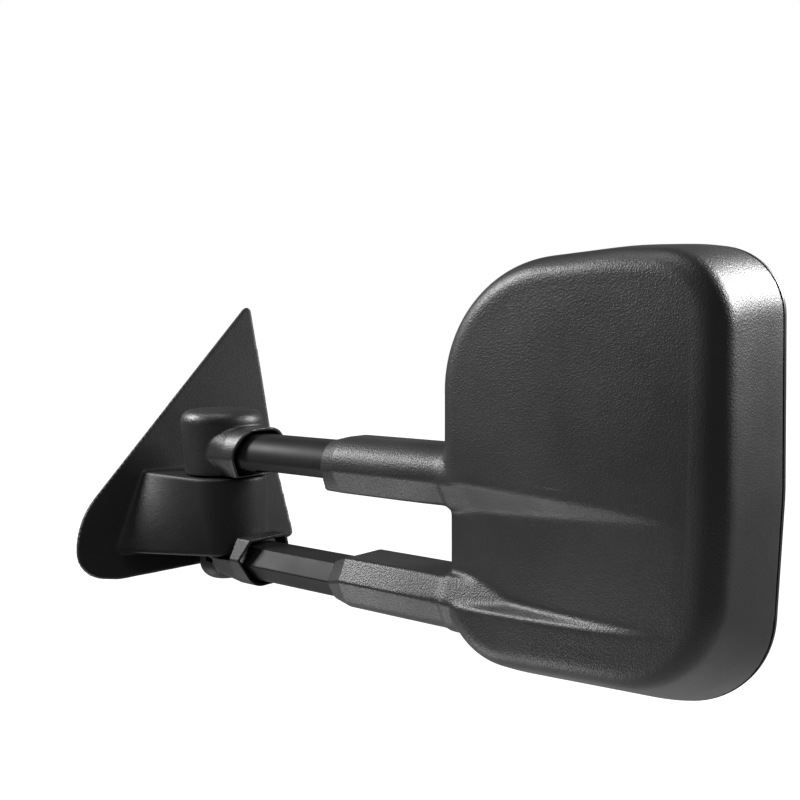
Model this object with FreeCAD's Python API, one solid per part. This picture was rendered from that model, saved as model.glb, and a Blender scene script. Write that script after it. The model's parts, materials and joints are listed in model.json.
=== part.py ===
"""Telescoping double-arm towing mirror for the left door, in millimetres.

Row frame: +X points outboard, +Y rearward (the glasses face +Y), +Z up.
The origin lies on the plane of the door skin, level with the middle of the two arms
and in line with the upright axis that the arms fold about.

The arms and the head are drawn in an arm frame, whose X runs along the arms from the
fold axis, and are then swept rearward about that axis into their driving position.
"""

import FreeCAD
import Part
import math
import os
from FreeCAD import Placement, Rotation, Vector

# Driving dimensions: the door and the fold axis
DOOR_LEAN = 19.0          # the door skin leans inboard towards the top, degrees
FOLD_X = 61.5             # door skin to fold axis, level with the arms
SWEEP = 18.0              # the arms point this far rearward of square, degrees

# The base: layers outward from the door skin, measured square to it
GASKET_T = 4.0
PLATE_T = 7.0
SKIN_T = 2.5
WEB_T = 4.0
POD_TOP = 26.0
POD_BOTTOM = -46.0
POD_R = 40.5
POD_FRONT_TOP = -60.0     # where the pod's flanks meet the plate
POD_FRONT_BOTTOM = -97.0
POD_REAR = 55.0
WALL = 3.0
HUB_CLEAR = 1.5           # cover to hub and to the shaft's parts
TOP_WINDOW_R = 18.0
LUG_TOP = 22.8
LUG_BOTTOM = -42.8
LUG_T = 14.0
STUD_R = 4.0
STUD_REACH = 24.0         # how far a stud stands past the door skin
STUD_BOSS_R = 8.0
STUD_ROOT_R = 5.2
STUD_ROOT_L = 7.0
SCREW_R = 2.2
SCREW_HEAD_R = 4.2
SCREW_HEAD_T = 2.0
SCREW_L = 7.0

# The pivot
SHAFT_R = 8.0
BUSH_R = 11.0
RUN_GAP = 0.05            # radial running gap of the shaft in its bushes
CAP_R = 40.0              # at the top; the cap narrows downward
CAP_FOOT_R = 35.0
CAP_SHIFT = -3.0          # the cap sits a little behind the fold axis
CAP_TOP = 88.0
CAP_BOTTOM = 27.4
HUB_R = 24.5
HUB_TOP = -47.6
HUB_BOTTOM = -73.0
CREASE_Z = -45.5          # crease along the lower arm's sleeve
SHAFT_HEAD_R = 12.0
HEAD_ROOM_R = 13.0        # room for the shaft's head in the hub
POD_GAP = 1.5             # pod to the arms' collars, as they fold
EYE_R = 20.0

# The arms, measured from the fold axis with the head pulled out
COLLAR_UPPER = 41.5       # the upper collar's mouth at its bottom edge, and its lean
LEAN_UPPER = 0.3
COLLAR_LOWER = 54.0       # the lower collar's mouth at its crease; it leans above and below
LEAN_LOWER = 0.35
COLLAR_REACH = 16.0
TUBE_END = 262.0
SLEEVE_START_UPPER = 151.0
SLEEVE_START_LOWER = 158.0
MOUTH_LIP = 1.8           # arm to the outside of a sleeve's mouth
MOUTH_GAP = 0.6
SLEEVE_END = 384.0
TUBE_WALL = 3.5
GLIDE_GAP = 0.4           # liner to tube
LEAD_IN = 18.0            # slope from a sleeve's mouth to its full section

# The head
HEAD_IN = 278.0           # inboard edge
HEAD_W = 229.0
HEAD_TOP = 219.0
HEAD_BOTTOM = -115.5
RIM_Y = 50.0              # joint between the housing and the bezel
LIP_Y = 57.0              # front of the bezel's lip
BACK_IN = -34.0           # back of the housing at its inboard edge
BACK_OUT = -56.0          # and at its outboard edge
SHELL = 3.0
BACK_ROUND = 17.0
HOOD = 1.6                # the ribs stand this far proud of the sleeves
RIB_END = 462.0
VALLEY_END = 476.0        # the valley between the ribs fades out here
VALLEY_IN_Y = -18.0
VALLEY_IN_Z = (-40.0, 23.0)      # the valley's floor at its inboard end
VALLEY_END_Z = (-31.4, 40.4)
VALLEY_IN_SLOPES = (0.35, 1.5)   # rise of its lower and upper sides per millimetre of depth
VALLEY_END_SLOPES = (1.3, 2.4)
GUIDE_Y = 29.5            # rear flat of the sleeves inside the head
FRAME_T = 3.0
WAIST = 22.0              # the frame is narrower here, clear of the tilted glasses
LIP = 7.0                 # width of the bezel's lip
GLASS_GAP = 3.0           # bezel to glass holder
HOLDER_RIM = 3.5
BAR_Z = -15.9             # middle of the bar between the glasses
BAR_T = 3.2
BAR_GAP = 1.8
BAR_HALF = BAR_T / 2
UPPER_LOW = BAR_Z + BAR_HALF
LOWER_HIGH = BAR_Z - BAR_HALF
FAR_UP = 400.0            # beyond the head
HOLDER_BACK = 47.5
HOLDER_FRONT = 53.0
GLASS_T = 2.5
PIVOT_Y = 42.25
PIVOT_H = 118.0           # glass pivots, from the head's inboard edge
UPPER_PIVOT_Z = 98.0
LOWER_PIVOT_Z = -64.0
RING_OUT = 20.0
RING_IN = 15.0
RING_T = 5.5
PIN_R = 2.0
CONVEX_R = 1400.0         # the lower glass bulges
HOLDER_STEP = 2.6         # bar's edge of a holder to its pane

UP = Vector(0, 0, 1)
ALONG = Vector(1, 0, 0)
REAR = Vector(0, 1, 0)
COS_L = math.cos(math.radians(DOOR_LEAN))
SIN_L = math.sin(math.radians(DOOR_LEAN))


# ---------------------------------------------------------------- drawing helpers

def round_wire(corners, place):
    """Closed wire through (u, v, radius) corners, each rounded by an arc; place maps (u, v) to space."""
    ends = []
    count = len(corners)
    for i, (u, v, r) in enumerate(corners):
        here = Vector(u, v, 0)
        before = (Vector(*corners[i - 1][:2], 0) - here).normalize()
        after = (Vector(*corners[(i + 1) % count][:2], 0) - here).normalize()
        half = before.getAngle(after) / 2
        reach = r / math.tan(half)
        middle = (before + after).normalize() * (r / math.sin(half) - r)
        ends.append((here + before * reach, here + middle, here + after * reach))
    edges = []
    for i, (start, mid, end) in enumerate(ends):
        pts = [place(p.x, p.y) for p in (start, mid, end)]
        edges.append(Part.Arc(*pts).toShape())
        nxt = ends[(i + 1) % count][0]
        edges.append(Part.LineSegment(pts[2], place(nxt.x, nxt.y)).toShape())
    return Part.Wire(edges)


def at_x(x):
    """Places a (y, z) section square to the arms."""
    return lambda u, v: Vector(x, u, v)


def at_y(y):
    """Places an (x, z) section square to the glasses."""
    return lambda u, v: Vector(u, y, v)


def at_z(z):
    """Places an (x, y) section level."""
    return lambda u, v: Vector(u, v, z)


def prism(wire, along):
    """Solid swept straight from a flat closed wire."""
    return Part.Face(wire).extrude(along)


def loft(*wires):
    """Solid skinned straight through closed wires."""
    return Part.makeLoft(list(wires), True, True)


def disc(r, z0, z1, x=0.0, y=0.0):
    """Upright cylinder."""
    return Part.makeCylinder(r, z1 - z0, Vector(x, y, z0), UP)


def tube(r_out, r_in, z0, z1):
    """Upright ring about the fold axis."""
    return disc(r_out, z0, z1).cut(disc(r_in, z0 - 1, z1 + 1))


def offset(wire, amount):
    """Flat wire moved in or out by the given amount."""
    return wire.makeOffset2D(amount, 0, False, False)


def soften(shape, radius, pick):
    """Rounds the edges that pick accepts."""
    edges = [e for e in shape.Edges if pick(e)]
    return shape.makeFillet(radius, edges)


def joined(first, *others):
    """One solid out of several that overlap."""
    return first.multiFuse(list(others)).removeSplitter()


def save(name, *shapes):
    """Writes one node; more than one shape makes a group of separate solids."""
    shape = shapes[0] if len(shapes) == 1 else Part.makeCompound(list(shapes))
    shape.exportStep("parts/" + name + ".step")
    print(name, "valid", shape.isValid(), "solids", len(shape.Solids), round(shape.Volume))


def swept(shape):
    """Turns a shape from the arm frame into the row frame."""
    moved = shape.copy()
    turn = Rotation(UP, SWEEP)
    moved.Placement = Placement(Vector(FOLD_X, 0, 0), turn).multiply(moved.Placement)
    return moved


# ---------------------------------------------------------------- the door base

def on_door(out):
    """Places (u, z) points on the plane that lies 'out' from the door skin; u runs rearward."""
    return lambda u, z: Vector((out - z * SIN_L) / COS_L, u, z)


# The sail plate's outline: top, rear edge, rear foot, front foot, front edge
SAIL = [(82.0, 193.0, 5.0), (84.0, 20.0, 60.0), (91.0, -50.0, 6.0), (40.0, -63.0, 40.0),
        (-95.0, -71.0, 60.0), (-133.5, -64.0, 24.0), (-125.5, -14.0, 78.0)]
DOOR_NORMAL = Vector(COS_L, 0, SIN_L)
STUDS = [(49.0, 112.0), (-72.0, -16.0), (66.0, -20.0)]


def drawn_in(corners, inset):
    """The same clockwise outline drawn further in; hollow corners open up and the others tighten."""
    result = []
    count = len(corners)
    for i, (u, v, r) in enumerate(corners):
        here = Vector(u, v, 0)
        before = (here - Vector(*corners[i - 1][:2], 0)).normalize()
        after = (Vector(*corners[(i + 1) % count][:2], 0) - here).normalize()
        inward = [Vector(d.y, -d.x, 0) for d in (before, after)]
        shift = (inward[0] + inward[1]) * (inset / (1 + inward[0].dot(inward[1])))
        hollow = before.cross(after).z > 0
        result.append((u + shift.x, v + shift.y, r + inset if hollow else max(r - inset, 1.0)))
    return result


def sail(inset, out, thick):
    """Slab with the sail plate's outline, inset from its edge."""
    return prism(round_wire(drawn_in(SAIL, inset), on_door(out)), DOOR_NORMAL * thick)


def pod_section(z, front_u, rear_u, inset):
    """Level section of the pod: a round nose about the fold axis and two flanks back to the plate."""
    back = (GASKET_T + PLATE_T - 1.0 - z * SIN_L) / COS_L
    nose = POD_R - inset
    points = []
    for u, side in ((front_u + inset, -1), (rear_u - inset, 1)):
        dx = FOLD_X - back
        reach = math.hypot(dx, u)
        turn = math.asin(nose / reach)
        toward = math.atan2(-u, dx)
        run = math.sqrt(reach * reach - nose * nose)
        angle = toward + side * turn
        points.append((Vector(back, u, z), Vector(back + run * math.cos(angle), u + run * math.sin(angle), z)))
    (foot_f, tan_f), (foot_r, tan_r) = points
    tip = Vector(FOLD_X + nose, 0, z)
    edges = [Part.LineSegment(foot_f, tan_f).toShape(), Part.Arc(tan_f, tip, tan_r).toShape(),
             Part.LineSegment(tan_r, foot_r).toShape(), Part.LineSegment(foot_r, foot_f).toShape()]
    return Part.Wire(edges)


def pod():
    """The pod's outside: its front flank reaches further forward at the bottom than at the top."""
    bottom = pod_section(POD_BOTTOM, POD_FRONT_BOTTOM, POD_REAR, 0)
    return loft(bottom, pod_section(POD_TOP, POD_FRONT_TOP, POD_REAR, 0))


def pod_room(inset):
    """Hollow inside the pod, of one section from bottom to top."""
    wire = pod_section(POD_TOP, POD_FRONT_TOP, POD_REAR, inset)
    room = prism(wire, UP * -(POD_TOP - POD_BOTTOM - inset))
    room.translate(UP * -inset)
    low = POD_BOTTOM + inset
    back = Part.makeBox(60, 80, POD_TOP - inset - low, Vector(-10, -40, low))
    return room.fuse(back).common(Part.makeBox(300, 300, POD_TOP - inset - low, Vector(-20, -150, low)))


def base_cover():
    """Sail plate skin with its edge wall, and the hollow pod, in one moulding."""
    body = sail(0, GASKET_T, PLATE_T)
    tray = sail(SKIN_T, GASKET_T - 1, PLATE_T + 1 - SKIN_T)
    shell = pod()
    shell = soften(shell, 2.5, lambda e: e.BoundBox.ZLength < 1 and e.BoundBox.XMax > FOLD_X)
    cover = joined(body, shell).cut(tray).cut(pod_room(WALL).cut(sail_behind(GASKET_T)))
    cover = cover.cut(disc(TOP_WINDOW_R, 0, 60, FOLD_X))
    cover = cover.cut(disc(TOP_WINDOW_R, HUB_BOTTOM, 0, FOLD_X))
    cover = cover.cut(disc(HUB_R + HUB_CLEAR, -90, POD_BOTTOM - 0.01, FOLD_X))
    return cover


def base_bracket():
    """Cast web behind the cover, with two pivot lugs and three stud bosses."""
    web = sail(SKIN_T + 0.6, GASKET_T, WEB_T)
    keep = [(60.0, 150.0, 8.0), (76.0, 30.0, 20.0), (84.0, -42.0, 8.0), (-90.0, -54.0, 12.0),
            (-100.0, -20.0, 10.0), (-20.0, 60.0, 30.0)]
    web = web.common(prism(round_wire(keep, on_door(0)), DOOR_NORMAL * 20))
    wide = [(0, -38, 2), (FOLD_X, -20, 8), (FOLD_X + 17, 0, 8), (FOLD_X, 20, 8), (0, 38, 2)]
    lugs = []
    for low, high in ((LUG_TOP - LUG_T, LUG_TOP), (LUG_BOTTOM, LUG_BOTTOM + LUG_T)):
        lug = prism(round_wire(wide, at_z(low)), UP * (high - low))
        lugs.append(lug.cut(sail_behind(GASKET_T + 1)))
    spine = Part.makeBox(30, 8, 60, Vector(2, -4, -40)).cut(sail_behind(GASKET_T + 1))
    web = joined(web, spine, *lugs)
    for u, z in STUDS:
        x = stud_face(z)
        boss = Part.makeCylinder(STUD_BOSS_R, STUD_ROOT_L + 3, Vector(x, u, z), ALONG)
        boss = boss.common(under_skin())
        web = joined(web, boss)
        web = web.cut(Part.makeCylinder(STUD_BOSS_R + 4, 30, Vector(x - 30, u, z), ALONG).common(slab_box()))
        web = web.cut(stud_root(u, z))
    return web.cut(disc(BUSH_R, -60, 60, FOLD_X))


def slab_box():
    """Room inboard of everything, used to trim round the stud bosses."""
    return Part.makeBox(200, 400, 400, Vector(-120, -200, -200))


def under_skin():
    """Space that a boss may fill: between the door and the cover's skin."""
    return sail(SKIN_T + 0.6, 0, GASKET_T + PLATE_T - SKIN_T - 0.4)


def sail_behind(out):
    """Everything on the door's side of the plane 'out' from the door skin."""
    far = [(-300, -300, 1), (300, -300, 1), (300, 300, 1), (-300, 300, 1)]
    return prism(round_wire(far, on_door(out)), DOOR_NORMAL * -200)


def stud_face(z):
    """X of the upright face that a stud stands out from."""
    return (0.6 - (z - STUD_BOSS_R) * SIN_L) / COS_L


def stud_root(u, z):
    """The wide end of a stud, cut flush with the bracket's outer face."""
    root = Part.makeCylinder(STUD_ROOT_R, STUD_ROOT_L, Vector(stud_face(z), u, z), ALONG)
    return root.common(under_skin())


def mounting_studs():
    """Three level studs, each pressed into its boss."""
    studs = []
    for u, z in STUDS:
        x = stud_face(z)
        end = -z * SIN_L / COS_L - STUD_REACH
        root = stud_root(u, z)
        rod = Part.makeCylinder(STUD_R, x - end, Vector(end, u, z), ALONG)
        studs.append(root.fuse(rod))
    return studs


def door_gasket():
    """Rubber ring that seals the plate to the door."""
    outer = sail(6.0, 0, GASKET_T)
    return outer.cut(sail(15.0, -1, GASKET_T + 2))


COVER_SCREWS = [(62.0, 88.0), (-52.0, 20.0), (74.0, 4.0), (-92.0, -42.0)]


def cover_screws():
    """Pan-head screws driven through the web into the cover, from the door's side."""
    screws = []
    for u, z in COVER_SCREWS:
        head = Part.makeCylinder(SCREW_HEAD_R, SCREW_HEAD_T, on_door(GASKET_T - SCREW_HEAD_T)(u, z), DOOR_NORMAL)
        shank = Part.makeCylinder(SCREW_R, SCREW_L - 1, on_door(GASKET_T - 0.1)(u, z), DOOR_NORMAL)
        screws.append(head.fuse(shank))
    return screws


def pivot_bush(flange_at, lug_face, length):
    """Flanged bush in one of the bracket's lugs."""
    up = 1 if flange_at > lug_face else -1
    low, high = sorted((lug_face, lug_face - up * length))
    bush = disc(BUSH_R, low, high)
    f_low, f_high = sorted((lug_face, flange_at))
    bush = bush.fuse(disc(16.0, f_low, f_high))
    bush = bush.cut(disc(SHAFT_R + RUN_GAP, -90, 90))
    bush.translate(Vector(FOLD_X, 0, 0))
    return bush.removeSplitter()


# ---------------------------------------------------------------- the folding arms

def upper_section(grow=0.0, inner=False, lift=0.0, x=0.0):
    """Arch-shaped section of the upper arm, with slanted flanks below its waist."""
    if inner:
        half, waist, foot, low, high, top_r = 26.0, 45.0, 20.0, 36.5, 67.0, 19.0
    else:
        half, waist, foot, low, high, top_r = 33.0, 46.0, 21.0, 26.0, 73.0, 24.0
    right = [(foot + 0.57 * grow, low - grow, 3.5), (half + grow, waist - 0.28 * grow, 7.0),
             (half - 1.5 + grow, high + grow + lift, max(top_r + grow, 2))]
    left = [(-u, v, r) for u, v, r in reversed(right)]
    return round_wire(right + left, at_x(x))


def lower_section(grow=0.0, inner=False, x=0.0):
    """Section of the lower arm: flat top, slanted shoulders, crease, rounded keel."""
    if inner:
        top, mid, keel = (16.0, -35.0), (25.5, -50.0), (15.0, -66.0)
        keel_r = 12.0
    else:
        top, mid, keel = (23.0, -27.0), (33.0, CREASE_Z), (21.0, -71.0)
        keel_r = 17.0
    side = [(top[0] + grow * 0.7, top[1] + grow), (mid[0] + grow, mid[1]), (keel[0] + grow * 0.7, keel[1] - grow)]
    radii = (2.5, 2.0, max(keel_r + grow, 2))
    right = [(u, v, r) for (u, v), r in zip(side, radii)]
    left = [(-u, v, r) for u, v, r in reversed(right)]
    return round_wire(right + left, at_x(x))


def bar(section, x0, x1, **kind):
    """Straight length of an arm section."""
    return prism(section(x=x0, **kind), ALONG * (x1 - x0))


def arm_tube(section, eye_low, eye_high):
    """One arm: an eye round the pivot shaft and a hollow bar."""
    solid = bar(section, 12.0, TUBE_END, inner=True)
    hole = bar(section, 44.0, TUBE_END + 1, inner=True, grow=-TUBE_WALL)
    eye = disc(EYE_R, eye_low, eye_high)
    arm = joined(solid, eye)
    return arm.cut(hole)


def upper_arm():
    """Upper arm casting; its eye carries the fold spring."""
    arm = arm_tube(upper_section, CAP_BOTTOM + 0.1, 46.0)
    arm = arm.cut(disc(EYE_R + 0.01, 46.0, 100))
    return arm.cut(disc(SHAFT_R + RUN_GAP, 0, 100))


def under_pod():
    """Room that the pod needs above the lower arm and its hub."""
    return Part.makeBox(POD_R + POD_GAP + 60.0, 200, 60, Vector(-60.0, -100, HUB_TOP))


def lower_arm():
    """Lower arm casting; its eye stands on the shaft's head."""
    arm = arm_tube(lower_section, -62.0, HUB_TOP)
    arm = arm.cut(under_pod())
    arm = arm.cut(disc(EYE_R + 0.01, -100, -62.0))
    return arm.cut(disc(SHAFT_R + RUN_GAP, -100, 0))


def outboard_of(x, z, lean):
    """Everything outboard of a collar's mouth, which leans outboard above and below level z."""
    far = 90.0
    points = [(x, z), (x + lean * far, z + far), (400.0, z + far), (400.0, z - far), (x + lean * far, z - far), (x, z)]
    face = Part.Face(Part.makePolygon([Vector(a, -100, b) for a, b in points]))
    return face.extrude(REAR * 200)


def upper_swivel_cap():
    """Round cap with a flared collar that ends in the sleeve's section."""
    drum = Part.makeCone(CAP_FOOT_R, CAP_R, CAP_TOP - CAP_BOTTOM, Vector(CAP_SHIFT, 0, CAP_BOTTOM), UP)
    drum = soften(drum, 12.0, lambda e: abs(e.BoundBox.ZMin - CAP_TOP) < 0.1 and e.BoundBox.ZLength < 0.1)
    flare = loft(upper_section(x=6.0, grow=0.5, lift=10.0), upper_section(x=COLLAR_UPPER - 6))
    rim = bar(upper_section, COLLAR_UPPER - 6, COLLAR_UPPER + COLLAR_REACH)
    cap = joined(drum, flare, rim.cut(outboard_of(COLLAR_UPPER, CAP_BOTTOM, LEAN_UPPER)))
    room = disc(CAP_FOOT_R - WALL, 0, CAP_TOP - WALL, CAP_SHIFT)
    mouth = bar(upper_section, 0, 80, grow=-WALL)
    below = Part.makeBox(200, 200, 40, Vector(-100, -100, CAP_BOTTOM - 40.0))
    cap = cap.cut(room).cut(mouth).cut(below)
    return cap


def lower_swivel_hub():
    """Round cover under the pod, with a collar that reaches out to the sleeve's section."""
    drum = Part.makeCone(HUB_R - 1.0, HUB_R, HUB_TOP - HUB_BOTTOM, Vector(0, 0, HUB_BOTTOM), UP)
    drum = soften(drum, 16.0, lambda e: abs(e.BoundBox.ZMax - HUB_BOTTOM) < 0.1)
    neck = loft(lower_section(x=0.0, grow=-6.0), lower_section(x=POD_R + POD_GAP))
    rim = bar(lower_section, POD_R + POD_GAP, COLLAR_LOWER + COLLAR_REACH)
    hub = joined(drum, neck, rim.cut(outboard_of(COLLAR_LOWER, CREASE_Z, LEAN_LOWER)))
    hub = hub.cut(under_pod())
    room = disc(HEAD_ROOM_R, HUB_BOTTOM + 1.5, 0).fuse(disc(EYE_R + 0.6, -63.0, 0))
    throat = loft(lower_section(x=0.0, grow=-6.0 - WALL), lower_section(x=POD_R + POD_GAP, grow=-WALL))
    mouth = bar(lower_section, POD_R + POD_GAP - 0.5, 80, grow=-WALL)
    arm_room = bar(lower_section, 0.0, 80.0, inner=True, grow=0.4)
    return hub.cut(room).cut(throat).cut(mouth).cut(arm_room)


def pivot_shaft():
    """Headed pivot shaft."""
    return joined(disc(SHAFT_R, -69.0, 84.0), disc(SHAFT_HEAD_R, -70.5, -62.1))


def hexagon(across, z, thick, bore):
    """Hexagonal nut."""
    r = across / math.sqrt(3)
    pts = [Vector(r * math.cos(math.radians(60 * i)), r * math.sin(math.radians(60 * i)), z) for i in range(7)]
    return Part.Face(Part.makePolygon(pts)).extrude(UP * thick).cut(disc(bore, z - 1, z + thick + 1))


def fold_spring():
    """Coil spring that presses the pivot together."""
    wire_r, coil_r, turns, low, high = 2.0, 12.0, 4.5, 48.2, 66.0
    pitch = (high - low) / turns
    helix = Part.makeHelix(pitch, high - low, coil_r)
    helix.translate(Vector(0, 0, low))
    section = Part.Wire(Part.Circle(Vector(coil_r, 0, low), REAR, wire_r).toShape())
    return Part.Wire(helix.Edges).makePipeShell([section], True, True)


# ---------------------------------------------------------------- the head

def head_outline(y, top=0.0, bottom=0.0, sweep_r=72.0, foot_r=42.0, grow=0.0):
    """Outline of the head seen from the glass side, at depth y; top and bottom are pulled in."""
    x0, x1 = HEAD_IN - grow, HEAD_IN + HEAD_W + grow
    low, high = HEAD_BOTTOM + bottom - grow, HEAD_TOP - top + grow
    corners = [(x0 + 1.5, low, foot_r), (x1 - 5.0, low + 9.5, 74.0), (x1 + 1.5, 50.0, 240.0),
               (x1 - 1.5, high - 1.0, 50.0), (x0 + 150.0, high + 2.5, 200.0), (x0 - 1.0, high - 7.0, sweep_r)]
    return round_wire(corners, at_y(y))


def behind_back(inset):
    """Everything behind the head's slanted back."""
    back_in = BACK_IN + inset
    far = -140.0
    slope = (BACK_OUT - BACK_IN) / HEAD_W
    left, right = -30.0, HEAD_W + 30.0
    pts = [Vector(HEAD_IN + left, back_in + slope * left, -200), Vector(HEAD_IN + right, back_in + slope * right, -200),
           Vector(HEAD_IN + right, far, -200), Vector(HEAD_IN + left, far, -200)]
    pts.append(pts[0])
    return Part.Face(Part.makePolygon(pts)).extrude(UP * 500)


# Depths at which the head's section is set, how far its top and bottom are pulled in there,
# and the radii of its upper and lower inboard corners
HEAD_STATIONS = [(RIM_Y, 0.0, 0.0, 72.0, 42.0), (12.0, 1.5, 12.5, 84.0, 50.0), (-20.0, 4.5, 25.0, 98.0, 56.0),
                 (-72.0, 14.0, 46.0, 104.0, 60.0)]


def head_solid(inset, round_r):
    """The head's solid from its rim to its slanted back, inset by the shell where asked."""
    wires = []
    for y, top, bottom, sweep_r, foot_r in HEAD_STATIONS:
        deeper = 1.0 if inset and y == RIM_Y else 0.0
        wires.append(head_outline(y + deeper, top, bottom, sweep_r, foot_r, -inset))
    block = Part.makeLoft(wires, True, False)
    block = block.cut(behind_back(inset))
    slope = (BACK_OUT - BACK_IN) / HEAD_W

    def on_back(edge):
        for v in edge.Vertexes:
            if abs(v.Y - (BACK_IN + inset + slope * (v.X - HEAD_IN))) > 0.05:
                return False
        return True

    return soften(block, round_r, on_back)


def valley(inset):
    """Air between the two arm ribs on the back of the head: a floor that rises outboard until it fades out,
    and two slanted sides."""
    slope = (BACK_OUT - BACK_IN) / HEAD_W
    y_end = BACK_IN + slope * (VALLEY_END - HEAD_IN)
    lead = 12.0
    y_in = VALLEY_IN_Y - lead * (y_end - VALLEY_IN_Y) / (VALLEY_END - HEAD_IN)
    out = -90.0

    def mouth(x, y, low, high, slopes):
        low, high, y = low - inset, high + inset, y + inset
        deep = y - out
        points = [(y, low, 3.0), (y, high, 3.0), (out, high + slopes[1] * deep, 1.0), (out, low - slopes[0] * deep, 1.0)]
        return round_wire(points, at_x(x))

    return loft(mouth(HEAD_IN - lead, y_in, *VALLEY_IN_Z, VALLEY_IN_SLOPES),
                mouth(VALLEY_END, y_end, *VALLEY_END_Z, VALLEY_END_SLOPES))


def back_housing():
    """Shell of the head, with ribs that carry on the line of the sleeves."""
    outer = head_solid(0, BACK_ROUND).cut(valley(0))
    inner = head_solid(SHELL, BACK_ROUND - SHELL).cut(valley(SHELL))
    shell = outer.cut(inner)
    ribs = []
    for section, low in ((upper_section, 20), (lower_section, -80)):
        rib = bar(section, HEAD_IN + 1.0, RIB_END, grow=HOOD)
        room = bar(section, HEAD_IN - 1.0, RIB_END - HOOD, grow=0.25)
        back_half = Part.makeBox(300, 60, 120, Vector(HEAD_IN, -60, low))
        ribs.append(rib.common(back_half).cut(room))
        shell = shell.cut(room)
    shell = joined(shell, *ribs)
    bosses = []
    for x, z in HOUSING_BOSSES:
        boss = Part.makeCylinder(6.0, 100, Vector(x, GUIDE_Y + 0.1, z), REAR * -1)
        bosses.append(boss.common(head_solid(1.0, BACK_ROUND - 1)))
    return joined(shell, *bosses)


HOUSING_BOSSES = [(436.0, 150.0), (436.0, -84.0)]


def mouth_section(section, x):
    """Section of a sleeve at its mouth: close round the arm, but the upper one keeps its full depth below."""
    if section is lower_section:
        return lower_section(grow=MOUTH_LIP, inner=True, x=x)
    right = [(21.0, 26.5, 3.5), (28.0, 45.5, 7.0), (26.5, 68.8, 20.0)]
    left = [(-u, v, r) for u, v, r in reversed(right)]
    return round_wire(right + left, at_x(x))


def sleeve(section, start):
    """Sleeve that slides on an arm and runs on into the head, where its rear side is cut flat."""
    full = start + LEAD_IN
    body = joined(loft(mouth_section(section, start), section(x=full)), bar(section, full, SLEEVE_END))
    hole = bar(section, full + 1.0, SLEEVE_END + 1, grow=-WALL)
    throat = bar(section, start - 1, full + 2.0, inner=True, grow=MOUTH_GAP)
    flat = Part.makeBox(200, 60, 240, Vector(HEAD_IN + 8, GUIDE_Y, -120))
    body = body.cut(hole).cut(throat).cut(flat)
    layer = Part.makeBox(200, 2.0, 240, Vector(HEAD_IN + 6, GUIDE_Y - 2.0, -120))
    return joined(body, bar(section, HEAD_IN + 6, SLEEVE_END).common(layer))


def sleeve_liner(section, start):
    """Slippery liner fixed in the sleeve; its outboard end stops the arm."""
    low = start + LEAD_IN + 1.2
    solid = bar(section, low, TUBE_END - 0.6, grow=-WALL - 0.05)
    return solid.cut(bar(section, low - 1.0, TUBE_END + 9, inner=True, grow=GLIDE_GAP))


def arm_plug(section):
    """Plug in the end of an arm, wider than the liner's bore so that it can't pull out."""
    flange = bar(section, TUBE_END, TUBE_END + 5.0, inner=True, grow=1.0)
    spigot = bar(section, TUBE_END - 16.0, TUBE_END + 0.5, inner=True, grow=-TUBE_WALL - 0.05)
    return joined(flange, spigot)


def mirror_frame():
    """Inner plate that ties the sleeves, the housing and the glass pivots together."""
    x0, x1 = HEAD_IN + 68.0, HEAD_IN + 170.0
    edge = [(x0, -92.0, 8.0), (x1, -92.0, 8.0), (x1, -36.0, 6.0), (x1 - WAIST, -26.0, 6.0), (x1 - WAIST, 8.0, 6.0),
            (x1, 18.0, 6.0), (x1, 186.0, 12.0), (x0, 186.0, 12.0), (x0, 18.0, 6.0), (x0 + WAIST, 8.0, 6.0),
            (x0 + WAIST, -26.0, 6.0), (x0, -36.0, 6.0)]
    plate = prism(round_wire(edge, at_y(GUIDE_Y + 0.1)), REAR * FRAME_T)
    flanges = [Part.makeBox(FRAME_T, 10, 80, Vector(x, GUIDE_Y - 9.8, 84)) for x in (x0, x1 - FRAME_T)]
    plate = joined(plate, *flanges)
    for x, z in FRAME_SCREWS:
        plate = plate.cut(Part.makeCylinder(SCREW_R + 0.1, 20, Vector(x, GUIDE_Y - 5, z), REAR))
    return plate


FRAME_SCREWS = [(360.0, 42.0), (360.0, 56.0), (360.0, -44.0), (360.0, -56.0)] + HOUSING_BOSSES
PIVOTS = {"upper": UPPER_PIVOT_Z, "lower": LOWER_PIVOT_Z}


def frame_screws():
    """Screws through the frame into the sleeves and the housing's bosses."""
    screws = []
    for x, z in FRAME_SCREWS:
        face = GUIDE_Y + 0.1 + FRAME_T
        length = 5.0 if (x, z) not in HOUSING_BOSSES else 12.0
        head = Part.makeCylinder(SCREW_HEAD_R, 1.6, Vector(x, face, z), REAR)
        shank = Part.makeCylinder(SCREW_R, length, Vector(x, face + 0.1, z), REAR * -1)
        screws.append(head.fuse(shank))
    return screws


def pivot_post(z):
    """Post with a level cross pin, on the mirror frame."""
    x = HEAD_IN + PIVOT_H
    face = GUIDE_Y + 0.1 + FRAME_T
    stem = Part.makeCylinder(8.0, PIVOT_Y + 2 - face, Vector(x, face, z), REAR)
    foot = Part.makeCylinder(13.0, 1.5, Vector(x, face, z), REAR)
    pin = Part.makeCylinder(PIN_R, 2 * (RING_OUT - 1.0), Vector(x - RING_OUT + 1.0, PIVOT_Y, z), ALONG)
    return joined(stem, foot, pin)


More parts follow.
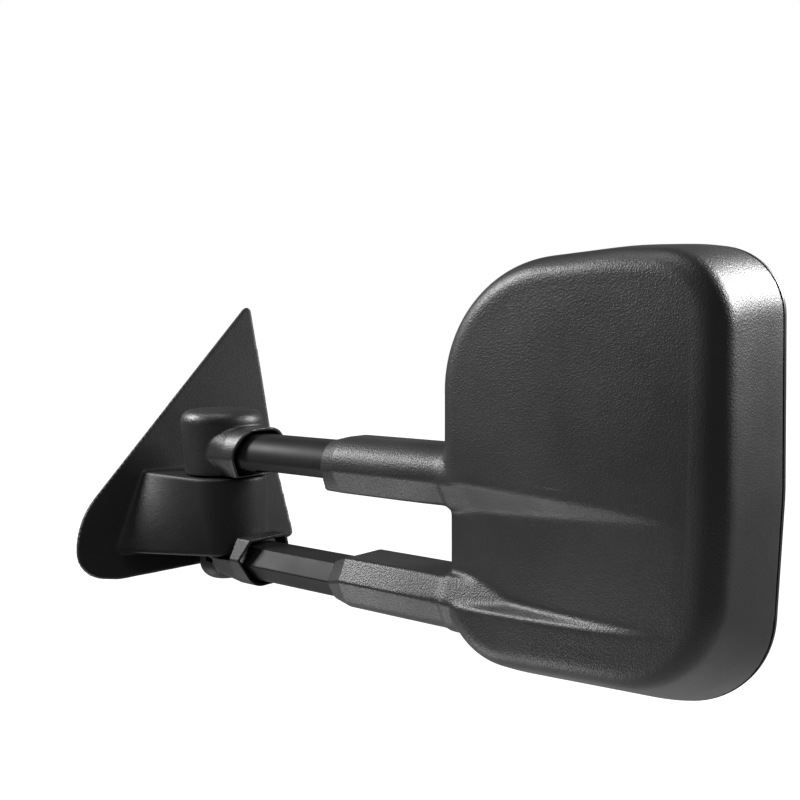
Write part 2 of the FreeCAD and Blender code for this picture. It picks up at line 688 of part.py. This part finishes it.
def pivot_ring(z):
    """Ring that tilts on the post's cross pin and carries two upright stub pins."""
    x = HEAD_IN + PIVOT_H
    low = Vector(x, PIVOT_Y - RING_T / 2, z)
    ring = Part.makeCylinder(RING_OUT, RING_T, low, REAR).cut(Part.makeCylinder(RING_IN, RING_T, low, REAR))
    cross = Part.makeCylinder(PIN_R + RUN_GAP, 80, Vector(x - 40, PIVOT_Y, z), ALONG)
    ring = ring.cut(cross)
    stubs = [Part.makeCylinder(PIN_R, 7.5, Vector(x, PIVOT_Y, z + s * (RING_OUT - 1.5)), UP * s) for s in (1, -1)]
    return joined(ring, *stubs)


def window(z_low, z_high, inset, y, thick):
    """Slab with the head's outline inset, between two levels, with small corners next to the bar."""
    slab = prism(offset(head_outline(y), -inset), REAR * thick)
    band = Part.makeBox(400, thick, z_high - z_low, Vector(HEAD_IN - 50, y, z_low))
    slab = slab.common(band)

    def by_bar(edge):
        box = edge.BoundBox
        near = abs(box.ZMin - BAR_Z) < 12 and box.ZLength < 0.1
        return near and box.XLength < 0.1 and box.YLength > thick * 0.9

    return soften(slab, 5.0, by_bar)


def front_bezel():
    """Bezel with a rounded lip, an inner wall and the bar between the glasses."""
    lip = prism(head_outline(RIM_Y), REAR * (LIP_Y - RIM_Y))
    lip = soften(lip, 3.6, lambda e: abs(e.BoundBox.YMin - LIP_Y) < 0.01)
    wall = prism(offset(head_outline(36.0), -SHELL - 0.6), REAR * (RIM_Y - 36.0 + 0.1))
    body = joined(lip, wall.common(head_solid(SHELL + 0.4, BACK_ROUND - SHELL)))
    body = body.cut(window(UPPER_LOW, FAR_UP, LIP, 30.0, 40.0))
    body = body.cut(window(-FAR_UP, LOWER_HIGH, LIP, 30.0, 40.0))
    bar_trim = Part.makeBox(HEAD_W - 2 * LIP - 2, 8.0, BAR_T + 2, Vector(HEAD_IN + LIP + 1, 36.0, BAR_Z - BAR_HALF - 1))
    return body.cut(bar_trim)


def glass_holder(z_low, z_high, z):
    """Tray behind a pane, with two eyes for the ring's stub pins."""
    inset = LIP + GLASS_GAP
    tray = window(z_low, z_high, inset, HOLDER_BACK, HOLDER_FRONT - HOLDER_BACK)
    recess = window(z_low + HOLDER_STEP - 0.1 if z_low > -FAR_UP else z_low,
                    z_high - HOLDER_STEP + 0.1 if z_high < FAR_UP else z_high,
                        inset + HOLDER_RIM, HOLDER_FRONT - GLASS_T, GLASS_T + 1)
    tray = tray.cut(recess)
    x = HEAD_IN + PIVOT_H
    eyes = []
    for s in (1, -1):
        mid = z + s * (RING_OUT + 3.2)
        eye = Part.makeBox(9.0, HOLDER_BACK - PIVOT_Y + 3.6, 4.4, Vector(x - 4.5, PIVOT_Y - 3.5, mid - 2.2))
        eyes.append(eye)
    tray = joined(tray, *eyes)
    return tray.cut(Part.makeCylinder(PIN_R + RUN_GAP, 80, Vector(x, PIVOT_Y, z - 40), UP))


def upper_glass():
    """Flat mirror pane."""
    return window(UPPER_LOW + BAR_GAP + HOLDER_STEP, FAR_UP, LIP + GLASS_GAP + HOLDER_RIM + 0.1,
                      HOLDER_FRONT - GLASS_T, GLASS_T)


def spotter_glass():
    """Bulging mirror pane: the front is part of a large sphere."""
    pane = window(-FAR_UP, LOWER_HIGH - BAR_GAP - HOLDER_STEP, LIP + GLASS_GAP + HOLDER_RIM + 0.1,
                      HOLDER_FRONT - GLASS_T, GLASS_T + 2.0)
    ball = Part.makeSphere(CONVEX_R, Vector(HEAD_IN + PIVOT_H, HOLDER_FRONT + 1.8 - CONVEX_R, LOWER_PIVOT_Z))
    return pane.common(ball)


# ---------------------------------------------------------------- writing the nodes

def main():
    os.makedirs("parts", exist_ok=True)
    save("base_cover", base_cover())
    save("base_bracket", base_bracket())
    save("door_gasket", door_gasket())
    save("mounting_studs", *mounting_studs())
    save("cover_screws", *cover_screws())
    save("upper_pivot_bush", pivot_bush(LUG_TOP + 2.2, LUG_TOP, LUG_T))
    save("lower_pivot_bush", pivot_bush(LUG_BOTTOM - 2.2, LUG_BOTTOM, LUG_T))

    save("upper_friction_washer", swept(tube(17.0, SHAFT_R + RUN_GAP, LUG_TOP + 2.5, CAP_BOTTOM + 0.1)))
    save("lower_friction_washer", swept(tube(17.0, SHAFT_R + RUN_GAP, HUB_TOP, LUG_BOTTOM - 2.5)))
    save("upper_swivel_cap", swept(upper_swivel_cap()))
    save("lower_swivel_hub", swept(lower_swivel_hub()))
    save("upper_arm", swept(upper_arm()))
    save("lower_arm", swept(lower_arm()))
    save("upper_arm_plug", swept(arm_plug(upper_section)))
    save("lower_arm_plug", swept(arm_plug(lower_section)))
    save("pivot_shaft", swept(pivot_shaft()))
    save("fold_spring", swept(fold_spring()))
    save("spring_washer", swept(tube(17.0, SHAFT_R + RUN_GAP, 68.1, 71.0)))
    save("pivot_nut", swept(hexagon(24.0, 71.0, 10.0, SHAFT_R + RUN_GAP)))

    save("back_housing", swept(back_housing()))
    save("front_bezel", swept(front_bezel()))
    save("upper_sleeve", swept(sleeve(upper_section, SLEEVE_START_UPPER)))
    save("lower_sleeve", swept(sleeve(lower_section, SLEEVE_START_LOWER)))
    save("upper_sleeve_liner", swept(sleeve_liner(upper_section, SLEEVE_START_UPPER)))
    save("lower_sleeve_liner", swept(sleeve_liner(lower_section, SLEEVE_START_LOWER)))
    save("mirror_frame", swept(mirror_frame()))
    save("frame_screws", *[swept(s) for s in frame_screws()])
    for name, z in PIVOTS.items():
        save(name + "_pivot_post", swept(pivot_post(z)))
        save(name + "_pivot_ring", swept(pivot_ring(z)))

    save("upper_glass_holder", swept(glass_holder(UPPER_LOW + BAR_GAP, FAR_UP, UPPER_PIVOT_Z)))
    save("lower_glass_holder", swept(glass_holder(-FAR_UP, LOWER_HIGH - BAR_GAP, LOWER_PIVOT_Z)))
    save("upper_glass", swept(upper_glass()))
    save("spotter_glass", swept(spotter_glass()))


main()
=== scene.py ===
"""Looks for the telescoping towing mirror: moulded covers, finishes, studio light and camera."""

import json
import math

import bpy
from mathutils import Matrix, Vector


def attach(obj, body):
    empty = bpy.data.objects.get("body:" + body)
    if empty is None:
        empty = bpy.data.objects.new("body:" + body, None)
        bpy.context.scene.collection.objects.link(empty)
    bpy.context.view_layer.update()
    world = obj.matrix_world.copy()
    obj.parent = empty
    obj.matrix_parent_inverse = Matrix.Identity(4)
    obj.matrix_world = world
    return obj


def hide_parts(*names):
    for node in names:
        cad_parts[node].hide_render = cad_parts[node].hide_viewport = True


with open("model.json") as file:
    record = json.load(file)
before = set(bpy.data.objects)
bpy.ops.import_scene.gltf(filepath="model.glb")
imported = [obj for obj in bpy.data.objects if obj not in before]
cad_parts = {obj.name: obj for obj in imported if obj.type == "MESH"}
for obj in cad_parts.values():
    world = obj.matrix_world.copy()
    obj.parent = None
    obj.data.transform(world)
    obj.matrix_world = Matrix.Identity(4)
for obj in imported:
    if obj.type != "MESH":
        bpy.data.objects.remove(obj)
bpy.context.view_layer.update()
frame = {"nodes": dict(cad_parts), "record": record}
NODES = frame["nodes"]

# The arms point this far rearward of square, and fold about this upright line
SWEEP = math.radians(18.0)
FOLD_X = 0.0615
ALONG = Vector((math.cos(SWEEP), math.sin(SWEEP), 0.0))
REAR = Vector((-math.sin(SWEEP), math.cos(SWEEP), 0.0))
UP = Vector((0.0, 0.0, 1.0))


def arm_point(x, y, z):
    """Row place of a point given along, across and above the arms, in metres."""
    return Vector((FOLD_X, 0, 0)) + ALONG * x + REAR * y + UP * z


# ------------------------------------------------------------ finishes

def shader_group(name, inputs, outputs):
    """An empty node group with named number inputs and outputs."""
    group = bpy.data.node_groups.new(name, "ShaderNodeTree")
    for label, value in inputs.items():
        socket = group.interface.new_socket(label, in_out="INPUT", socket_type="NodeSocketFloat")
        socket.default_value = value
    for label in outputs:
        group.interface.new_socket(label, in_out="OUTPUT", socket_type="NodeSocketFloat")
    return group, group.nodes.new("NodeGroupInput"), group.nodes.new("NodeGroupOutput")


def math_node(tree, kind, a, b):
    """Math node on two sockets or numbers."""
    node = tree.nodes.new("ShaderNodeMath")
    node.operation = kind
    for slot, value in zip(node.inputs, (a, b)):
        if isinstance(value, (int, float)):
            slot.default_value = value
        else:
            tree.links.new(value, slot)
    return node.outputs[0]


def grain_group():
    """Leather-like moulded grain: small cells broken up by finer noise."""
    given_values = {"Cell Scale": 800.0, "Breakup": 0.5}
    group, given, result = shader_group("Moulded grain", given_values, ["Height"])
    coords = group.nodes.new("ShaderNodeTexCoord")
    cells = group.nodes.new("ShaderNodeTexVoronoi")
    cells.feature = "SMOOTH_F1"
    cells.inputs["Smoothness"].default_value = 0.6
    noise = group.nodes.new("ShaderNodeTexNoise")
    noise.inputs["Detail"].default_value = 3.0
    finer = 1.7
    for texture, factor in ((cells, 1.0), (noise, finer)):
        scale = math_node(group, "MULTIPLY", given.outputs["Cell Scale"], factor)
        group.links.new(coords.outputs["Object"], texture.inputs["Vector"])
        group.links.new(scale, texture.inputs["Scale"])
    broken = math_node(group, "MULTIPLY", noise.outputs["Fac"], given.outputs["Breakup"])
    group.links.new(math_node(group, "ADD", cells.outputs["Distance"], broken), result.inputs["Height"])
    return group


def mottle_group():
    """Slow changes over a surface: flow of the plastic, handling, thin dust."""
    given_values = {"Scale": 18.0, "Low": 0.9, "High": 1.1}
    group, given, result = shader_group("Slow mottle", given_values, ["Factor"])
    coords = group.nodes.new("ShaderNodeTexCoord")
    noise = group.nodes.new("ShaderNodeTexNoise")
    noise.inputs["Detail"].default_value = 4.0
    group.links.new(coords.outputs["Object"], noise.inputs["Vector"])
    group.links.new(given.outputs["Scale"], noise.inputs["Scale"])
    spread = group.nodes.new("ShaderNodeMapRange")
    spread.inputs["From Min"].default_value = 0.3
    spread.inputs["From Max"].default_value = 0.7
    group.links.new(noise.outputs["Fac"], spread.inputs["Value"])
    group.links.new(given.outputs["Low"], spread.inputs["To Min"])
    group.links.new(given.outputs["High"], spread.inputs["To Max"])
    group.links.new(spread.outputs["Result"], result.inputs["Factor"])
    return group


def rubbed_edge_group():
    """White on sharp outer edges, where handling polishes them."""
    group, given, result = shader_group("Rubbed edges", {"Start": 0.53, "Full": 0.62}, ["Mask"])
    geometry = group.nodes.new("ShaderNodeNewGeometry")
    spread = group.nodes.new("ShaderNodeMapRange")
    group.links.new(geometry.outputs["Pointiness"], spread.inputs["Value"])
    group.links.new(given.outputs["Start"], spread.inputs["From Min"])
    group.links.new(given.outputs["Full"], spread.inputs["From Max"])
    group.links.new(spread.outputs["Result"], result.inputs["Mask"])
    return group


GRAIN = grain_group()
MOTTLE = mottle_group()
RUBBED = rubbed_edge_group()


def placed(tree, group, **values):
    """A group node with its own values."""
    node = tree.nodes.new("ShaderNodeGroup")
    node.node_tree = group
    for label, value in values.items():
        node.inputs[label.replace("_", " ")].default_value = value
    return node.outputs[0]


def finish_of(name, tone, rough, metal=0.0, cell=800.0, breakup=0.5, depth=0.00006, strength=0.5,
              mottle=(18.0, 0.9, 1.1), edge_tone=1.25, edge_rough=0.85, specular=0.5):
    """A finish: a tone and a roughness that change slowly and along edges, over a fine grain."""
    material = bpy.data.materials.new(name)
    material.use_nodes = True
    tree = material.node_tree
    shader = tree.nodes["Principled BSDF"]
    shader.inputs["Metallic"].default_value = metal
    shader.inputs["Specular IOR Level"].default_value = specular
    slow = placed(tree, MOTTLE, Scale=mottle[0], Low=mottle[1], High=mottle[2])
    edge = placed(tree, RUBBED)
    lift = math_node(tree, "ADD", math_node(tree, "MULTIPLY", edge, edge_tone - 1.0), slow)
    colour = tree.nodes.new("ShaderNodeMix")
    colour.data_type = "RGBA"
    colour.blend_type = "MULTIPLY"
    colour.inputs["Factor"].default_value = 1.0
    colour.inputs["A"].default_value = (*tone, 1.0)
    grey = tree.nodes.new("ShaderNodeCombineColor")
    for channel in grey.inputs:
        tree.links.new(lift, channel)
    tree.links.new(grey.outputs["Color"], colour.inputs["B"])
    tree.links.new(colour.outputs["Result"], shader.inputs["Base Color"])
    polish = math_node(tree, "ADD", math_node(tree, "MULTIPLY", edge, edge_rough - 1.0), 1.0)
    varied = math_node(tree, "MULTIPLY", math_node(tree, "MULTIPLY", slow, rough), polish)
    tree.links.new(varied, shader.inputs["Roughness"])
    bump = tree.nodes.new("ShaderNodeBump")
    bump.inputs["Strength"].default_value = strength
    bump.inputs["Distance"].default_value = depth
    tree.links.new(placed(tree, GRAIN, Cell_Scale=cell, Breakup=breakup), bump.inputs["Height"])
    tree.links.new(bump.outputs["Normal"], shader.inputs["Normal"])
    return material


def mirror_finish(name):
    """Silvered glass with the faintest haze, and a painted glow (emission) that stands in for the bright room
    it reflects.
    """
    material = bpy.data.materials.new(name)
    material.use_nodes = True
    tree = material.node_tree
    shader = tree.nodes["Principled BSDF"]
    shader.inputs["Metallic"].default_value = 1.0
    shader.inputs["Base Color"].default_value = (0.86, 0.88, 0.89, 1.0)
    # Painted reflection: an even glow on the glass brightens it as if it were mirroring a pale room; it is
    # not a lamp
    shader.inputs["Emission Color"].default_value = (0.95, 0.97, 1.0, 1.0)
    shader.inputs["Emission Strength"].default_value = 0.35
    haze = placed(tree, MOTTLE, Scale=9.0, Low=0.012, High=0.03)
    tree.links.new(haze, shader.inputs["Roughness"])
    return material


# Cell counts are per metre, and grain depths are in metres
grained_black = finish_of("Grained black plastic", (0.019, 0.019, 0.020), 0.42,
                          cell=760.0, breakup=0.8, depth=0.00025, strength=0.7)
arm_black = finish_of("Smooth black arm plastic", (0.012, 0.012, 0.013), 0.5,
                      cell=1500.0, depth=0.00006, strength=0.35, specular=0.15)
base_black = finish_of("Matt black cover plastic", (0.012, 0.012, 0.013), 0.5,
                       cell=760.0, breakup=0.8, depth=0.00016, strength=0.6, specular=0.32)
bezel_black = finish_of("Satin black bezel", (0.014, 0.014, 0.015), 0.33,
                        cell=1600.0, depth=0.00005, strength=0.3)
holder_grey = finish_of("Glass holder plastic", (0.05, 0.05, 0.052), 0.5, cell=1400.0)
gasket_rubber = finish_of("Gasket rubber", (0.012, 0.012, 0.012), 0.8,
                          cell=500.0, depth=0.0001, edge_tone=1.05)
cast_alloy = finish_of("Cast alloy", (0.5, 0.5, 0.51), 0.5,
                       metal=0.9, cell=420.0, depth=0.0002, strength=0.7)
bright_zinc = finish_of("Bright zinc", (0.62, 0.61, 0.57), 0.28, metal=1.0, cell=2200.0, depth=0.00003)
sintered_bronze = finish_of("Sintered bronze", (0.55, 0.38, 0.18), 0.42, metal=1.0, cell=1800.0)
filled_nylon = finish_of("Glass-filled nylon", (0.045, 0.045, 0.048), 0.55, cell=1100.0, depth=0.00008)
silvered = mirror_finish("Silvered glass")

FINISH = {
    "textured_plastic": grained_black, "bezel_plastic": bezel_black, "cast_alloy": cast_alloy,
    "gasket_rubber": gasket_rubber, "zinc_steel": bright_zinc, "bush_bronze": sintered_bronze,
    "nylon": filled_nylon, "mirror_glass": silvered,
}
SLOT_OF = {part["node"]: part["material_slot"] for part in frame["record"]["subparts"]}


def paint(piece, material):
    """One finish over a whole piece."""
    piece.data.materials.clear()
    piece.data.materials.append(material)


for node_name, node in NODES.items():
    paint(node, FINISH[SLOT_OF[node_name]])
for node_name in ("upper_glass_holder", "lower_glass_holder"):
    paint(NODES[node_name], holder_grey)


# ------------------------------------------------------------ modelling helpers

MERGE_WITHIN = 0.000004            # loose triangles' corners closer than this are one point
FLAT_WITHIN = math.radians(0.6)    # faces that turn less than this are one face
SHARP_EDGE = math.radians(32.0)
EASED_CREASE = math.radians(38.0)
MOULDED_CREASE = math.radians(50.0)


def pick(piece):
    """Makes this the only selected piece."""
    if bpy.context.mode != "OBJECT":
        bpy.ops.object.mode_set(mode="OBJECT")
    bpy.ops.object.select_all(action="DESELECT")
    piece.select_set(True)
    bpy.context.view_layer.objects.active = piece


def traced(node_name, name):
    """A piece that starts as a merged copy of a CAD node's mesh."""
    mesh = NODES[node_name].data.copy()
    piece = bpy.data.objects.new(name, mesh)
    bpy.context.scene.collection.objects.link(piece)
    pick(piece)
    bpy.ops.object.mode_set(mode="EDIT")
    bpy.ops.mesh.select_all(action="SELECT")
    bpy.ops.mesh.remove_doubles(threshold=MERGE_WITHIN)
    bpy.ops.object.mode_set(mode="OBJECT")
    return piece


def apply_modifier(piece, kind, **values):
    """Adds a modifier and applies it at once."""
    pick(piece)
    modifier = piece.modifiers.new(kind.title(), kind)
    for label, value in values.items():
        setattr(modifier, label, value)
    bpy.ops.object.modifier_apply(modifier=modifier.name)


def fitted(piece, node_name, body, material):
    """Finish and place in the assembly of a moulded piece that stands in for a CAD node."""
    paint(piece, material)
    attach(piece, body)
    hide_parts(node_name)


def melted(piece, voxel, passes):
    """Runs a piece's edges and joints softly into each other, as moulded plastic does."""
    apply_modifier(piece, "REMESH", mode="VOXEL", voxel_size=voxel, adaptivity=0.0)
    apply_modifier(piece, "SMOOTH", factor=0.5, iterations=passes)


def moulded(node_name, name, voxel, passes, body, material):
    """Stand-in for a CAD node, melted all over."""
    piece = traced(node_name, name)
    melted(piece, voxel, passes)
    bpy.ops.object.shade_smooth()
    fitted(piece, node_name, body, material)


def eased(node_name, name, width, body, material):
    """Stand-in for a CAD node with its sharp edges eased by a small round."""
    piece = traced(node_name, name)
    bpy.ops.object.mode_set(mode="EDIT")
    bpy.ops.mesh.select_all(action="SELECT")
    bpy.ops.mesh.dissolve_limited(angle_limit=FLAT_WITHIN)
    bpy.ops.object.mode_set(mode="OBJECT")
    apply_modifier(piece, "BEVEL", width=width, segments=3, limit_method="ANGLE",
                   angle_limit=SHARP_EDGE, use_clamp_overlap=True, harden_normals=False)
    pick(piece)
    bpy.ops.object.shade_smooth_by_angle(angle=EASED_CREASE)
    fitted(piece, node_name, body, material)


# ------------------------------------------------------------ the covers

HEAD_IN = 0.278           # inboard edge of the head, along the arms
SEAM_X = HEAD_IN - 0.040  # the sleeves' skins meet the head's moulding here
STUB_IN = SEAM_X - 0.020  # the sleeves' ends start here before the seam is cut
BLEND_IN = HEAD_IN - 0.024
BLEND_LENGTH = 0.020      # from BLEND_IN, the extra smoothing comes up over this length
HEAD_VOXEL = 0.0016
SLEEVE_VOXEL = 0.0010
HEAD_KEEP = 0.42          # share of the shell's faces that is kept

CROWN_AT = arm_point(HEAD_IN + 0.125, -0.036, 0.055)
CROWN_GRIP = 0.012        # points this near the crown's middle are the ones pulled
CROWN_REACH = 0.13
CROWN_RISE = 0.006
BACK_FACING = -0.2        # the outer back's normals point at least this far forward
BACK_BEHIND = -0.018      # and its points lie in front of this, so the sleeves' bores stay where they are


def sliced(piece, x, keep_outboard):
    """Cuts a piece square to the arms and caps the cut."""
    pick(piece)
    bpy.ops.object.mode_set(mode="EDIT")
    bpy.ops.mesh.select_all(action="SELECT")
    bpy.ops.mesh.bisect(plane_co=arm_point(x, 0, 0), plane_no=ALONG, use_fill=True,
                        clear_inner=keep_outboard, clear_outer=not keep_outboard)
    bpy.ops.object.mode_set(mode="OBJECT")


def weighted(piece, name, weight_at):
    """A vertex group whose weight depends on how far along the arms a point is."""
    group = piece.vertex_groups.new(name=name)
    for vertex in piece.data.vertices:
        along = (vertex.co - arm_point(0, 0, 0)).dot(ALONG)
        weight = max(0.0, min(1.0, weight_at(along)))
        if weight > 0.0:
            group.add([vertex.index], weight, "REPLACE")
    return group.name


def head_moulding():
    """The head's shell run together with the outboard ends of both sleeves."""
    shell = traced("back_housing", "Head_shell")
    parts = [shell]
    for name in ("upper_sleeve", "lower_sleeve"):
        stub = traced(name, name + "_stub")
        sliced(stub, STUB_IN, True)
        parts.append(stub)
    bpy.ops.object.select_all(action="DESELECT")
    for part in parts:
        part.select_set(True)
    bpy.context.view_layer.objects.active = shell
    bpy.ops.object.join()
    melted(shell, HEAD_VOXEL, 3)
    blend_zone = weighted(shell, "Blend zone", lambda along: (along - BLEND_IN) / BLEND_LENGTH)
    apply_modifier(shell, "SMOOTH", factor=0.5, iterations=16, vertex_group=blend_zone)
    apply_modifier(shell, "DECIMATE", ratio=HEAD_KEEP)
    sliced(shell, SEAM_X, True)
    crowned(shell)
    return shell


def crowned(shell):
    """Swells the shell's outer back softly outward. Everything else is hidden first, so it stays."""
    pick(shell)
    for vertex in shell.data.vertices:
        behind = (vertex.co - arm_point(0, 0, 0)).dot(REAR) > BACK_BEHIND
        vertex.select = behind or vertex.normal.dot(REAR) > BACK_FACING
    bpy.ops.object.mode_set(mode="EDIT")
    bpy.ops.mesh.hide()
    bpy.ops.object.mode_set(mode="OBJECT")
    for vertex in shell.data.vertices:
        vertex.select = (vertex.co - CROWN_AT).length < CROWN_GRIP
    bpy.ops.object.mode_set(mode="EDIT")
    bpy.ops.transform.translate(value=-REAR * CROWN_RISE, use_proportional_edit=True,
                                proportional_edit_falloff="SMOOTH", proportional_size=CROWN_REACH)
    bpy.ops.mesh.reveal(select=False)
    bpy.ops.object.mode_set(mode="OBJECT")


def dressed(piece, node_name):
    """Shading, finish and place of a finished piece of the head, with its crisp edges kept."""
    pick(piece)
    bpy.ops.object.shade_smooth_by_angle(angle=MOULDED_CREASE)
    fitted(piece, node_name, "head", grained_black)


dressed(head_moulding(), "back_housing")
for side in ("Upper", "Lower"):
    sleeve = side.lower() + "_sleeve"
    skin = traced(sleeve, side + "_sleeve_skin")
    melted(skin, SLEEVE_VOXEL, 4)
    sliced(skin, SEAM_X, False)
    dressed(skin, sleeve)
moulded("base_cover", "Door_cover", 0.0014, 4, "base", base_black)
moulded("upper_swivel_cap", "Upper_pivot_cap", 0.0010, 5, "arms", grained_black)
moulded("lower_swivel_hub", "Lower_pivot_hub", 0.0007, 4, "arms", base_black)
eased("upper_arm", "Upper_arm_bar", 0.0008, "arms", arm_black)
eased("lower_arm", "Lower_arm_bar", 0.0008, "arms", arm_black)

# ------------------------------------------------------------ studio

FLOOR_Z = -1.3
FLOOR_SIZE = 40.0
WHITE = (1.0, 1.0, 1.0, 1.0)


def soft_light(name, place, aim, size, power):
    """A square softbox at a place, aimed at a point."""
    bpy.ops.object.light_add(type="AREA", location=place)
    light = bpy.context.object
    light.name = name
    light.data.size = size
    light.data.energy = power
    light.rotation_euler = (Vector(aim) - Vector(place)).to_track_quat("-Z", "Y").to_euler()


def plain_to_view(tree, strength, unseen, shown):
    """Gives a strength one value where the camera sees it and another for the light it sheds."""
    path = tree.nodes.new("ShaderNodeLightPath")
    switch = tree.nodes.new("ShaderNodeMapRange")
    switch.inputs["To Min"].default_value = unseen
    switch.inputs["To Max"].default_value = shown
    tree.links.new(path.outputs["Is Camera Ray"], switch.inputs["Value"])
    tree.links.new(switch.outputs["Result"], strength)


bpy.ops.object.select_all(action="DESELECT")
bpy.ops.mesh.primitive_plane_add(size=FLOOR_SIZE, location=(0.0, 0.0, FLOOR_Z))
floor = bpy.context.object
floor.name = "Studio_floor"
floor_paint = bpy.data.materials.new("Pale floor")
floor_paint.use_nodes = True
floor_shader = floor_paint.node_tree.nodes["Principled BSDF"]
floor_shader.inputs["Base Color"].default_value = (0.45, 0.45, 0.45, 1.0)
floor_shader.inputs["Roughness"].default_value = 0.8
floor_shader.inputs["Emission Color"].default_value = WHITE
plain_to_view(floor_paint.node_tree, floor_shader.inputs["Emission Strength"], 0.10, 1.1)
floor.data.materials.append(floor_paint)

world = bpy.data.worlds.new("Studio")
bpy.context.scene.world = world
world.use_nodes = True
backdrop = world.node_tree.nodes["Background"]
backdrop.inputs["Color"].default_value = WHITE
plain_to_view(world.node_tree, backdrop.inputs["Strength"], 0.15, 1.0)

# Name, place, aim, size and power of each softbox
soft_light("Key", (-1.05, -1.25, 1.2), (0.52, 0.08, 0.14), 0.55, 58.0)
soft_light("Top", (0.15, -0.3, 1.7), (0.2, 0.05, 0.0), 0.8, 9.0)
soft_light("Rear", (0.75, 1.9, 0.95), (0.5, 0.15, 0.12), 0.7, 60.0)
soft_light("Low_left", (-0.25, -0.62, -0.9), (0.5, 0.05, 0.0), 0.4, 3.6)

bpy.context.scene.view_settings.view_transform = "Standard"

# ------------------------------------------------------------ camera

CAMERA_AT = Vector((0.95674, -0.38540, 0.15641))
LOOK = Vector((-0.83686, 0.54740, 0.0)).normalized()  # level, before the camera is pitched down
PITCH = math.radians(3.57)
LENS = 45.54
SENSOR = 36.0

bpy.ops.object.camera_add(location=CAMERA_AT)
camera = bpy.context.object
camera.name = "Camera"
camera.data.lens = LENS
camera.data.sensor_width = SENSOR
gaze = LOOK * math.cos(PITCH) - UP * math.sin(PITCH)
camera.rotation_euler = gaze.to_track_quat("-Z", "Y").to_euler()
bpy.context.scene.camera = camera
